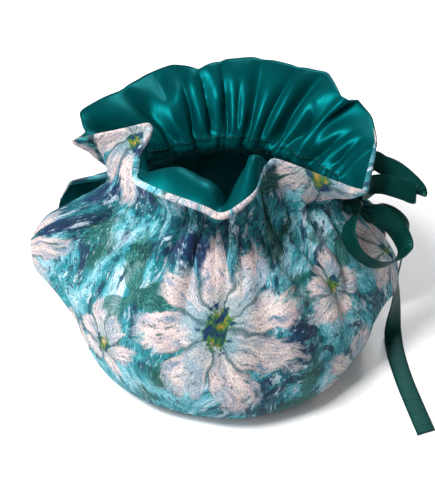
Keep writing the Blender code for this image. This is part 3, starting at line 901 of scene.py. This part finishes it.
PINCH_PUCKER = 0.9
CUT_RUN = 8.0


def smooth_route(rows, step):
    """A smooth curve through the rows, with a place and a way across at even steps."""
    keys = np.array(rows, float)
    padded = np.vstack((2 * keys[0] - keys[1], keys, 2 * keys[-1] - keys[-2]))
    shares = np.linspace(0.0, 1.0, 24, endpoint=False)[:, None]
    places = [0.5 * (2 * start + (end - before) * shares
                     + (2 * before - 5 * start + 4 * end - after) * shares ** 2
                     + (3 * start - before - 3 * end + after) * shares ** 3)
              for before, start, end, after in zip(padded, padded[1:], padded[2:], padded[3:])]
    places = np.vstack(places + [keys[-1:]])
    run = np.append(0.0, np.cumsum(np.linalg.norm(np.diff(places[:, :3], axis=0), axis=1)))
    even = np.linspace(0.0, run[-1], max(3, round(run[-1] / step)) + 1)
    return np.stack([np.interp(even, run, column) for column in places.T], axis=1), even


print("ribbon", RIBBON_WIDTH, "mm wide, a rib every", RIB_PITCH, "mm")

# %% [markdown]
# Grosgrain has round cords woven across it. They repeat along the ribbon, so Geometry Nodes raise them: the
# tree reads how far along the ribbon each point is, and moves it out along its normal by a row of round
# humps.

# %% Ribs by Geometry Nodes
def new_tree(name, sizes):
    """An empty Geometry Nodes tree with named sizes as its inputs."""
    tree = bpy.data.node_groups.new(name, "GeometryNodeTree")
    new_socket = tree.interface.new_socket
    new_socket("Geometry", in_out="INPUT", socket_type="NodeSocketGeometry")
    for size, value in sizes.items():
        new_socket(size, in_out="INPUT", socket_type="NodeSocketFloat").default_value = value
    new_socket("Geometry", in_out="OUTPUT", socket_type="NodeSocketGeometry")
    net = Network(tree)
    return net, net.add("NodeGroupInput")


def end_tree(net, geometry, material):
    """Realize Instances and Set Material close each tree."""
    real = net.add("GeometryNodeRealizeInstances", (geometry,))[0]
    painted = net.add("GeometryNodeSetMaterial", {"Geometry": real, "Material": material})[0]
    net.add("NodeGroupOutput", (painted,))
    return net.tree


def rib_tree():
    net, given = new_tree("ribbon ribs", {"Pitch": RIB_PITCH * MM, "Height": RIB_HEIGHT * MM})
    along = net.add("GeometryNodeInputNamedAttribute", {"Name": "along"}, data_type="FLOAT")["Attribute"]
    angle = net.maths("MULTIPLY", net.maths("DIVIDE", along, given["Pitch"]), math.pi)
    wave = net.maths("ABSOLUTE", net.maths("SINE", angle))
    height = net.maths("MULTIPLY", net.maths("POWER", wave, 0.6), given["Height"])
    offset = net.vector("SCALE", net.add("GeometryNodeInputNormal")["Normal"], scale=height)
    moved = net.add("GeometryNodeSetPosition", {"Geometry": given["Geometry"], "Offset": offset})[0]
    return end_tree(net, moved, RIBBON)


def run_tree(piece, tree):
    """Run a Geometry Nodes tree on a piece and keep the result as a plain mesh."""
    modifier = piece.modifiers.new(tree.name, "NODES")
    modifier.node_group = tree
    view = bpy.context.evaluated_depsgraph_get()
    made = bpy.data.meshes.new_from_object(piece.evaluated_get(view))
    made.name = piece.name
    piece.modifiers.remove(modifier)
    piece.data = made
    return piece


RIBS = rib_tree()
print("ribs", RIBBON_WIDTH, "mm long and", RIB_HEIGHT, "mm high")

# %% [markdown]
# A strip starts as a grid along its route. It is a little hollow across, as a ribbon is that has been tied,
# and its two woven edges are thinner than its middle.

# %% Bow loops and tails
RIBBON_ACROSS = 12


def keep_along(mesh, along):
    """Keep on each point how far along the ribbon it is, in metres, for the ribs."""
    mesh.attributes.new("along", "FLOAT", "POINT").data.foreach_set("value", along.astype(np.float32))


def ribbon_strip(name, rows, both_ends, hollow, slant):
    """A closed thin ribbon with its length along it kept for the ribs."""
    stations, run = smooth_route(rows, RIBBON_STEP)
    line = unit(np.gradient(stations[:, :3], axis=0))
    across = unit(stations[:, 3:] - line * (stations[:, 3:] * line).sum(axis=1, keepdims=True))
    out = np.cross(line, across)
    from_knot = np.minimum(run, run[-1] - run) if both_ends else run
    pinch = ease(from_knot / PINCH_RUN)
    width = RIBBON_WIDTH * (PINCH_WIDTH + (1.0 - PINCH_WIDTH) * pinch)
    side = np.linspace(-0.5, 0.5, RIBBON_ACROSS + 1)[:, None]
    cup = hollow * (1.0 - (2.0 * side) ** 2) * pinch
    cup = cup + (1.0 - pinch) * PINCH_PUCKER * np.cos(side * 3 * math.pi)
    cup = cup - cup.mean(axis=0)
    shear = slant * np.clip((run - run[-1] + CUT_RUN) / CUT_RUN, 0.0, 1.0)
    places = (stations[None, :, :3] + across[None] * (side * width[None])[..., None]
              + out[None] * cup[..., None] + line[None] * (side * shear[None])[..., None])
    half = np.full((RIBBON_ACROSS + 1, 1, 1), RIBBON_THICK / 2)
    half[[0, -1]] = RIBBON_THICK / 4
    along, sideways = np.meshgrid(run * MM, side * RIBBON_WIDTH * MM)
    piece = shell(name, places, ways_out(places) * half, np.stack((sideways, along), axis=-1), RIBBON)
    keep_along(piece.data, np.tile(along.ravel(), 2))
    return run_tree(piece, RIBS), run[-1] * MM


for node, rows, both_ends, hollow, slant in (
    ("bow_loop_upper", UPPER_LOOP, True, 0.5, 0.0),
    ("bow_loop_hanging", HANGING_LOOP, True, 0.6, 0.0),
    ("tail_long", LONG_TAIL, False, 0.35, -2.4),
    ("tail_short", SHORT_TAIL, False, 0.5, 2.4),
):
    piece, length = ribbon_strip(node + "_ribbon", rows, both_ends, hollow, slant)
    dress(piece, node)
    print(node, round(length * 1000), "mm of ribbon")

# %% [markdown]
# The knot is the ribbon wound once round the four strands that leave it. It is a soft drum with rounded ends
# and a crease on each side where the winding is pulled tight, and it has the same ribs as the rest.

# %% Knot
KNOT_PLACE = np.array((74.6, -19.8, 114.0))
KNOT_SIZE = np.array((11.0, 12.0, 10.0))


def knot():
    """A wound knot: rows run round it, columns from end to end."""
    around = np.linspace(0.0, 2 * math.pi, 97)[:-1]
    over = np.linspace(0.03, math.pi - 0.03, 41)
    angle, tip = np.meshgrid(around, over)
    band = np.sin(tip) ** 0.55
    crease = 1.0 - 0.10 * hump(np.cos(tip) - 0.25 * np.sin(angle), 0.10)
    crease *= 1.0 - 0.07 * hump(np.cos(tip) + 0.5 + 0.15 * np.cos(angle * 2), 0.08)
    x = np.cos(tip) * 0.5
    y = band * np.cos(angle) * crease * 0.5
    z = band * np.sin(angle) * crease * 0.5
    points = KNOT_PLACE + np.stack((x, y, z), axis=-1) * KNOT_SIZE
    mesh_maker = bmesh.new()
    made = [mesh_maker.verts.new(point * MM) for point in points.reshape(-1, 3)]
    ring = np.arange(len(made)).reshape(points.shape[:2])
    after = np.roll(ring, -1, axis=1)
    quads = np.stack((ring[:-1], after[:-1], after[1:], ring[1:]), axis=-1).reshape(-1, 4)
    for face in (*quads, ring[0][::-1], ring[-1]):
        mesh_maker.faces.new([made[corner] for corner in face])
    bmesh.ops.recalc_face_normals(mesh_maker, faces=mesh_maker.faces[:])
    mesh = bpy.data.meshes.new("bow_knot_ribbon")
    mesh_maker.verts.index_update()
    mesh_maker.to_mesh(mesh)
    mesh_maker.free()
    turned, sideways = np.meshgrid(around * 0.5 * KNOT_SIZE[1] * MM, np.cos(over) * 0.5 * KNOT_SIZE[0] * MM)
    keep_along(mesh, turned.ravel())
    return run_tree(make_piece(mesh.name, mesh, np.stack((sideways, turned), axis=-1), RIBBON), RIBS)


dress(knot(), "bow_knot")

# %% [markdown]
# Two rows of stitches hold the channel that the ribbon runs in. They repeat along a line, so Geometry Nodes
# lay them: the line is cut into even steps, and one small rounded stitch is set on each step along the line.

# %% Stitches by Geometry Nodes
STITCH_PITCH = 3.0
STITCH_LENGTH = 2.1
STITCH_THICK = 0.38
# How far the face of each cloth lies from the shared middle
OUTER_FACE = 1.9
LINING_FACE = -1.2


def stitch_tree():
    sizes = {"Pitch": STITCH_PITCH, "Length": STITCH_LENGTH, "Thickness": STITCH_THICK}
    net, given = new_tree("stitch row", {name: size * MM for name, size in sizes.items()})
    line = net.add("GeometryNodeMeshToCurve", (given["Geometry"],))[0]
    cut = {"Curve": line, "Length": given["Pitch"]}
    tangent = net.add("GeometryNodeInputTangent")["Tangent"]
    stitches = net.add("GeometryNodeInstanceOnPoints", {
        "Points": net.add("GeometryNodeResampleCurve", cut, mode="LENGTH")["Curve"],
        "Instance": net.add("GeometryNodeMeshUVSphere", {"Segments": 8, "Rings": 6, "Radius": 0.5})["Mesh"],
        "Rotation": net.add("FunctionNodeAlignRotationToVector", {"Vector": tangent}, axis="X")["Rotation"],
        "Scale": net.join(given["Length"], given["Thickness"], given["Thickness"]),
    })
    return end_tree(net, stitches["Instances"], THREAD)


def stitch_row(front, offset_out, above):
    """The line of one row of stitches on one panel, a set way above or below the neck."""
    turns = np.linspace(1.5, 178.5, 240) + (180.0 if front else 0.0)
    climbs = np.concatenate((np.linspace(0.88, 1.0, 40), np.linspace(1.0, 1.25, 40)[1:]))
    middle, length = panel_grid(turns, climbs, front)
    out = ways_out(middle)
    neck_row = int(np.argmin(np.abs(climbs - 1.0)))
    row = np.argmin(np.abs(length - length[neck_row] - above), axis=0)
    columns = np.arange(len(turns))
    share = squash(middle, out, math.copysign(1.0, offset_out))[row, columns]
    return middle[row, columns] + out[row, columns] * (offset_out * share)[:, None]


def stitch_piece(name, front, offset_out):
    """Both channel rows on one face of one panel, as one piece."""
    points, edges = [], []
    for above in (-CHANNEL_HALF, CHANNEL_HALF):
        line = stitch_row(front, offset_out, above) * MM
        start = len(points)
        points.extend(line.tolist())
        edges.extend((start + step, start + step + 1) for step in range(len(line) - 1))
    mesh = bpy.data.meshes.new(name)
    mesh.from_pydata(points, edges, [])
    piece = bpy.data.objects.new(name, mesh)
    bpy.context.scene.collection.objects.link(piece)
    run_tree(piece, STITCHES).data.shade_smooth()
    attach(piece, "root")
    print(name, len(piece.data.polygons), "faces")
    return piece


STITCHES = stitch_tree()
for node in PANELS:
    offset_out = OUTER_FACE if node.startswith("outer") else LINING_FACE
    stitch_piece(node + "_stitches", node.endswith("front"), offset_out)

# %% [markdown]
# A panel's cut is as wide as half the way round the body and as long as from the hem up and over to the rim.
# The ribbon is one strip, cut here at each end of a loop.

# %% [markdown]
# A plain pale floor and three large soft lights: a wide one above and in front, a weaker one from the left,
# and one from behind on the right that draws the long gloss along the satin's folds.

# %% Floor and light
bpy.ops.mesh.primitive_plane_add(size=6.0, location=(0.0, 0.0, 0.0))
floor = bpy.context.object
floor.name = "floor"
paper = Dye("pale paper")
speckle = paper.fade(paper.noise(paper.object_place(), 400.0, 3.0, 0.5), 0.3, 0.7)
paper.set(Base_Color=paper.mix(speckle, (0.84, 0.84, 0.85), (0.88, 0.88, 0.89)), Roughness=0.9,
          Specular_IOR_Level=0.2)
floor.data.materials.append(paper.material)

world = bpy.data.worlds.new("studio")
world.use_nodes = True
sky = world.node_tree.nodes["Background"].inputs
sky["Color"].default_value = (1.0, 1.0, 1.0, 1.0)
sky["Strength"].default_value = 0.32
bpy.context.scene.world = world
bpy.context.scene.view_settings.view_transform = "Standard"


def soft_light(name, place, aim, size, power):
    """A square soft box that looks at a point."""
    data = bpy.data.lights.new(name, "AREA")
    data.size, data.energy = size, power
    light = bpy.data.objects.new(name, data)
    light.location = place
    light.rotation_euler = (Vector(aim) - Vector(place)).to_track_quat("-Z", "Y").to_euler()
    bpy.context.scene.collection.objects.link(light)


soft_light("key", (-0.45, -0.30, 0.90), (0.0, 0.0, 0.08), 0.32, 16.5)
soft_light("left", (-0.95, -0.5, 0.40), (0.0, 0.0, 0.1), 0.5, 4.5)
soft_light("back", (0.25, 0.75, 0.85), (0.0, 0.05, 0.14), 0.35, 7.0)
